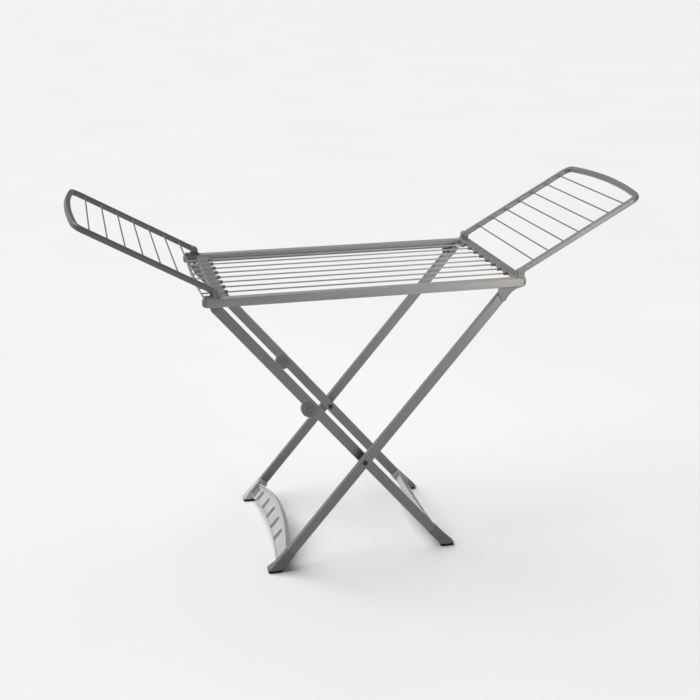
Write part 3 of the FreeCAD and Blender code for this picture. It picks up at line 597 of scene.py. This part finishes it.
def rail_beads(mesh_data):
    """Two low beads along each rail's top, between the hinge feet."""
    width = RAIL_OUTER - RAIL_INNER
    top = RAIL_TOP
    hinge_gap = 15.5
    left = LEFT_HINGE.x / MM + hinge_gap
    right = RIGHT_HINGE.x / MM - hinge_gap
    for side in SIDES:
        for from_inner in (3.6, width - 4.6):
            y = side * (RAIL_INNER + from_inner)
            bead = [(y - 0.9, top + SUNK), (y + 0.9, top + SUNK), (y + 0.7, top + 0.3), (y, top + 0.55),
                    (y - 0.7, top + 0.3)]
            extrusion(mesh_data, bead, left, right)


# The beads are real relief, but their paler, glossier edge finish is partly painted highlight along the rail
# tops.
piece("rail_beads", "top_frame", "rail_edge_wear_and_highlight", rail_beads)


def hinge_caps(mesh_data):
    """Snap caps on the outer ends of the four wing pins."""
    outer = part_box("wing_hinge_pins")[1].y
    for hinge in (LEFT_HINGE, RIGHT_HINGE):
        for side in SIDES:
            place = facing((hinge.x, side * outer, hinge.z), (0, side, 0))
            turned(mesh_data, place, [(5.4, -0.4), (5.4, 0.8), (5.0, 1.5), (4.0, 2.0), (2.6, 2.2), (2.2, 1.7),
                                      (0, 1.6)], 28)


piece("hinge_caps", "top_frame", "grey_moulding", hinge_caps)


def cap_screws(mesh_data):
    """A small screw on top of each end cap."""
    for hinge, inward in ((LEFT_HINGE, 1), (RIGHT_HINGE, -1)):
        for side in SIDES:
            spot = (hinge.x + inward * 10.0 * MM, side * (RAIL_INNER + 5.6) * MM, (RAIL_TOP + 5.0) * MM)
            cross_recess_screw(mesh_data, facing(spot, (0, 0, 1)), 3.1, 1.1)


piece("cap_screws", "top_frame", "pin_steel", cap_screws)


def wing_pin_heads(mesh_data):
    """Domed heads on the inner ends of the wing pins."""
    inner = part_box("right_wing_rear_hinge_arm")[0].y / MM - 0.3 - PIN_HEAD
    for hinge in (LEFT_HINGE, RIGHT_HINGE):
        for side in SIDES:
            place = facing((hinge.x, side * inner * MM, hinge.z), (0, -side, 0))
            dome(mesh_data, place, 6.2, 1.2, -PIN_HEAD - 0.1)


piece("wing_pin_heads", "top_frame", "grey_moulding", wing_pin_heads)


# ---------------------------------------------------------------- leg details

def leg_numbers(prefix, place):
    """Y of the leg's middle, its half thickness and half width, and the tube's two ends, in mm."""
    tube = frame["nodes"][prefix + "_rear_leg_tube"]
    local = [place.inverted() @ v.co for v in tube.data.vertices]
    xs, ys, zs = zip(*local)
    middle = (min(ys) + max(ys)) / 2
    return (abs(middle) / MM, (max(ys) - min(ys)) / 2 / MM, (max(zs) - min(zs)) / 2 / MM,
            min(xs) / MM, max(xs) / MM)


def leg_details(prefix, body, place):
    """Bands at the tubes' tops, a rim round each shoe's top and the arch's screws, on a pair of legs.

    Returns the Y of the leg's middle and its half thickness, in mm."""
    y, half_y, half_z, start, end = leg_numbers(prefix, place)
    foot = end + LEG_END_GAP

    def collars(mesh_data):
        for side in SIDES:
            tube = (mesh_data, place, side * y, half_y, half_z, TUBE_CORNER)
            sleeve(*tube, start - 2.6, start + 1.8, 0.45)
            sleeve(*tube, start - 7.4, start - 6.0, 0.45, 0.3)

    def shoe_rim(side):
        top = foot - SHOE_HEIGHT

        def build(mesh_data):
            sleeve(mesh_data, place, side * y, half_y + 1.0, half_z + 1.3, 4.5,
                   top - 2.0, top + 1.0, 0.4, 0.25)
        return build

    def arch_screws(mesh_data):
        face = y - half_y - ARCH_PLATE
        for side in SIDES:
            for along in (66.0, 38.0):
                centre = place @ Vector(((foot - along) * MM, side * face * MM, 0))
                cross_recess_screw(mesh_data, facing(centre, (0, -side, 0)), 3.6, 1.7)

    piece(prefix + "_leg_collars", body, "grey_moulding", collars)
    # Shoe rims other than the outer rear one take the darker copy of the shoe moulding, as painted shade.
    rear = "shoe_moulding" if prefix == "outer" else "dark_shoe"
    piece(prefix + "_rear_shoe_rim", body, rear, shoe_rim(1))
    piece(prefix + "_front_shoe_rim", body, "dark_shoe", shoe_rim(-1))
    piece(prefix + "_arch_screws", body, "pin_steel", arch_screws)
    return y, half_y


OUTER_Y, OUTER_HALF = leg_details("outer", "outer_legs", OUTER_LEG)
INNER_Y, INNER_HALF = leg_details("inner", "inner_legs", INNER_LEG)


def level_loops(mesh_data, levels, x0, drift, near, far, side):
    """A closed skin through level rounded outlines, in mm.

    Each level is (height, half length, how far it reaches inwards past near, corner radius).  Its outer
    edge is at far, and its middle starts at x0 and drifts along X as it rises."""
    loops = []
    for z, half, inward, radius in levels:
        depth = (far - near + inward) / 2
        outline = rounded_outline(half, depth, radius)
        x = x0 + drift * (z - levels[0][0])
        loops.append(put(mesh_data, RACK, [((x + a) * MM, side * (far - depth + b) * MM, z * MM)
                                           for a, b in outline]))
    skin(mesh_data, loops)
    mesh_data.faces.new(loops[0])
    mesh_data.faces.new(loops[-1])


def foot_details(prefix, body, place, word, side, finish):
    """The spread heel of a shoe and the rubber under it, which reach inwards beneath the arch."""
    low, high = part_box("%s_%s_foot_pad" % (prefix, word))
    up = place.to_3x3() @ Vector((-1, 0, 0))
    drift = up.x / up.z
    x0 = (low.x + high.x) / 2 / MM
    half = (high.x - low.x) / 2 / MM
    near, far = sorted((abs(low.y) / MM, abs(high.y) / MM))
    top = high.z / MM

    # The heel's outer edge stays inside the rails' outer faces, which are the CAD's box.
    heel_edge = min(far + 0.3, RAIL_OUTER - 0.1)

    def heel(mesh_data):
        levels = [(top - 0.4, half + 1.4, 10.0, 7.0), (top + 0.6, half + 2.0, 10.6, 7.5),
                  (top + 5.0, half + 1.9, 10.2, 7.5), (top + 10.0, half + 1.5, 7.5, 7.0),
                  (top + 18.0, half + 0.6, 2.0, 6.0), (top + 24.0, half - 0.6, -1.0, 4.5)]
        level_loops(mesh_data, levels, x0, drift, near, heel_edge, side)

    def rubber(mesh_data):
        levels = [(0.3, half - 1.0, 8.6, 5.5), (1.0, half - 0.3, 9.4, 6.0), (top, half - 0.3, 9.4, 6.0)]
        level_loops(mesh_data, levels, x0, 0.0, near, far - 0.4, side)

    piece("%s_%s_heel" % (prefix, word), body, finish, heel)
    piece("%s_%s_heel_rubber" % (prefix, word), body, "foot_rubber", rubber)


# Heels other than the outer rear one take the darker copy of the shoe moulding, as painted shade.
foot_details("outer", "outer_legs", OUTER_LEG, "front", -1, "dark_shoe")
foot_details("outer", "outer_legs", OUTER_LEG, "rear", 1, "shoe_moulding")
foot_details("inner", "inner_legs", INNER_LEG, "front", -1, "dark_shoe")
foot_details("inner", "inner_legs", INNER_LEG, "rear", 1, "dark_shoe")


def pivot_heads(mesh_data):
    """A recessed head on the inner end of each leg's top pivot pin."""
    face = min(abs(v.co.y) for v in frame["nodes"]["top_pivot_pins"].data.vertices)
    for side in SIDES:
        place = facing((PIVOT.x, side * face, PIVOT.z), (0, -side, 0))
        cross_recess_screw(mesh_data, place, 7.2, 1.4)


piece("pivot_heads", "outer_legs", "pin_steel", pivot_heads)


def bolt_heads(mesh_data):
    """A recessed head outside and a nut inside each crossing bolt."""
    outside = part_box("crossing_bolts")[1].y
    inside = (INNER_Y - INNER_HALF) * MM
    for side in SIDES:
        head = facing((CROSSING.x, side * outside, CROSSING.z), (0, side, 0))
        cross_recess_screw(mesh_data, head, 7.8, 1.3, -PIN_HEAD - 0.1)
        nut = facing((CROSSING.x, side * inside, CROSSING.z), (0, -side, 0))
        hexagon(mesh_data, nut, 8.8, 4.4)


piece("bolt_heads", "inner_legs", "black_moulding", bolt_heads)


def spacer_rings(mesh_data):
    """Three ribs round each spacer between the crossing legs."""
    low = INNER_Y + INNER_HALF
    high = OUTER_Y - OUTER_HALF - 0.3
    for side in SIDES:
        for a in (low + 2.0, (low + high) / 2 - 1.0, high - 4.0):
            place = facing((CROSSING.x, side * a * MM, CROSSING.z), (0, side, 0))
            closed_ring(mesh_data, place, [(13.6, 0), (14.5, 0.2), (14.8, 1.0), (14.5, 1.8), (13.6, 2.0)], 36)


piece("spacer_rings", "inner_legs", "black_moulding", spacer_rings)


def catch_faces(mesh_data):
    """Raised rim and centre boss on both faces of each fold catch."""
    for node in ("rear_fold_catch", "front_fold_catch"):
        low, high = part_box(node)
        points = [INNER_LEG.inverted() @ v.co for v in frame["nodes"][node].data.vertices]
        middle_x = (min(p.x for p in points) + max(p.x for p in points)) / 2 / MM
        deepest = max((p.z for p in points), key=abs) / MM
        turn = -1 if deepest < 0 else 1
        centre = INNER_LEG @ Vector((middle_x * MM, 0, (deepest - turn * CATCH_RADIUS) * MM))
        for face, direction in ((high.y, 1), (low.y, -1)):
            place = facing((centre.x, face, centre.z), (0, direction, 0))
            dome(mesh_data, place, 6.5, 1.3)
            closed_ring(mesh_data, place, [(9.2, -0.3), (10.6, -0.3), (10.6, 0.5), (10.2, 0.9), (9.6, 0.9),
                                           (9.2, 0.5)], 40)


piece("catch_faces", "inner_legs", "dark_shoe", catch_faces)


# ---------------------------------------------------------------- wing details

def rod_places(wing, place):
    """How far along the wing each of its rods is, to the nearest half millimetre, in mm."""
    rod_x = sorted({round((place.inverted() @ v.co).x / MM, 0)
                    for v in frame["nodes"][wing + "_rods"].data.vertices})
    groups = []
    for x in rod_x:
        if groups and x - groups[-1][-1] < 10:
            groups[-1].append(x)
        else:
            groups.append([x])
    return [(group[0] + group[-1]) / 2 for group in groups]


def wing_details(wing, place):
    """Ferrules where the rods enter the side tubes, and bands at the tubes' two ends."""
    tube = frame["nodes"][wing + "_rear_side_rail"]
    local = [place.inverted() @ v.co for v in tube.data.vertices]
    ys = [abs(p.y) / MM for p in local]
    zs = [p.z / MM for p in local]
    inner = min(ys)
    half_y = (max(ys) - inner) / 2
    half_z = (max(zs) - min(zs)) / 2
    tube_end = max(p.x for p in local) / MM
    tube_start = min(p.x for p in local) / MM

    def ferrules(mesh_data):
        profile = [(2.0, -0.5), (5.0, -0.5), (5.0, 0.6), (4.3, 1.6), (3.7, 4.6), (3.2, 5.4), (2.0, 5.4)]
        for x in rod_places(wing, place):
            for side in SIDES:
                spot = place @ Vector((x * MM, side * inner * MM, 0))
                away = (place.to_3x3() @ Vector((0, -side, 0))).normalized()
                closed_ring(mesh_data, facing(spot, away), profile, 24)

    def sleeves(mesh_data):
        for side in SIDES:
            tube = (mesh_data, place, side * (inner + half_y), half_y, half_z, TUBE_CORNER)
            sleeve(*tube, tube_end - 0.8, tube_end + 0.8, 0.3, 0.2)
            sleeve(*tube, tube_start - 1.0, tube_start + 4.0, 0.55, 0.3)

    piece(wing + "_ferrules", wing, "grey_moulding", ferrules)
    piece(wing + "_sleeves", wing, "grey_moulding", sleeves)


wing_details("right_wing", RIGHT_WING)
wing_details("left_wing", LEFT_WING)


# ---------------------------------------------------------------- floor, light and camera

def floor():
    """A wide pale disc, faintly clouded."""
    n = Nodes("floor")
    cloud = n.noise(n.place, 0.8, 4.0, 0.5)
    n.link(n.mixed(n.ranged(cloud, 0.3, 0.7, 0, 1), (0.72, 0.72, 0.72), (0.74, 0.74, 0.74)),
           n.shader.inputs["Base Color"])
    n.shader.inputs["Roughness"].default_value = 0.9
    n.shader.inputs["Specular IOR Level"].default_value = 0.1
    mesh_data = bmesh.new()
    bmesh.ops.create_circle(mesh_data, cap_ends=True, segments=96, radius=90.0)
    mesh = bpy.data.meshes.new("floor")
    mesh_data.to_mesh(mesh)
    mesh_data.free()
    mesh.materials.append(n.material)
    obj = bpy.data.objects.new("floor", mesh)
    bpy.context.scene.collection.objects.link(obj)


def softbox(name, place, target, size, watts, spread, colour):
    """A rectangular lamp at place that faces target.  spread is its beam in degrees."""
    light = bpy.data.lights.new(name, "AREA")
    light.shape = "RECTANGLE"
    light.size, light.size_y = size
    light.energy = watts
    light.spread = math.radians(spread)
    light.color = colour
    obj = bpy.data.objects.new(name, light)
    obj.location = place
    obj.rotation_euler = (Vector(target) - Vector(place)).to_track_quat("-Z", "Y").to_euler()
    bpy.context.scene.collection.objects.link(obj)


def camera():
    """The viewpoint: from the front, left of the middle, above the wings."""
    place = (-0.852, -3.5256, 1.8685)
    yaw, pitch, roll = 0.2359, 0.3276, -0.0021
    level = math.cos(pitch)
    forward = Vector((math.sin(yaw) * level, math.cos(yaw) * level, -math.sin(pitch)))
    right = Vector((math.cos(yaw), -math.sin(yaw), 0))
    up = right.cross(forward)
    tilted_right = math.cos(roll) * right + math.sin(roll) * up
    tilted_up = -math.sin(roll) * right + math.cos(roll) * up
    turn = Matrix((tilted_right, tilted_up, -forward)).transposed()
    data = bpy.data.cameras.new("camera")
    data.lens = 59.46
    data.sensor_width = 36.0
    data.clip_end = 400.0
    obj = bpy.data.objects.new("camera", data)
    obj.matrix_world = Matrix.Translation(place) @ turn.to_4x4()
    bpy.context.scene.collection.objects.link(obj)
    bpy.context.scene.camera = obj


def overcast(name, direction, strength, spread):
    """A very soft, even light that comes from direction.  spread is its width in degrees."""
    light = bpy.data.lights.new(name, "SUN")
    light.energy = strength
    light.angle = math.radians(spread)
    obj = bpy.data.objects.new(name, light)
    obj.rotation_euler = (-Vector(direction)).to_track_quat("-Z", "Y").to_euler()
    bpy.context.scene.collection.objects.link(obj)


def backdrop(lighting, seen):
    """An even sky: dim where it lights the rack, and nearly as pale as the floor where it is seen."""
    world = bpy.data.worlds.new("world")
    world.use_nodes = True
    tree = world.node_tree
    sky = tree.nodes["Background"]
    sky.inputs["Color"].default_value = (0.95, 0.965, 1.0, 1)
    path = tree.nodes.new("ShaderNodeLightPath")
    level = tree.nodes.new("ShaderNodeMapRange")
    level.inputs["To Min"].default_value = lighting
    level.inputs["To Max"].default_value = seen
    tree.links.new(path.outputs["Is Camera Ray"], level.inputs["Value"])
    tree.links.new(level.outputs["Result"], sky.inputs["Strength"])
    bpy.context.scene.world = world


floor()
overcast("key", direction=(-0.45, 0.30, 0.9), strength=4.0, spread=70)
softbox("right_fill", place=(1.35, -2.05, 1.12), target=(0.64, -0.25, 0.98), size=(0.8, 0.8),
        watts=3.7, spread=55, colour=(1.0, 0.985, 0.96))
backdrop(lighting=0.14, seen=0.8)
bpy.context.scene.view_settings.view_transform = "Standard"
camera()
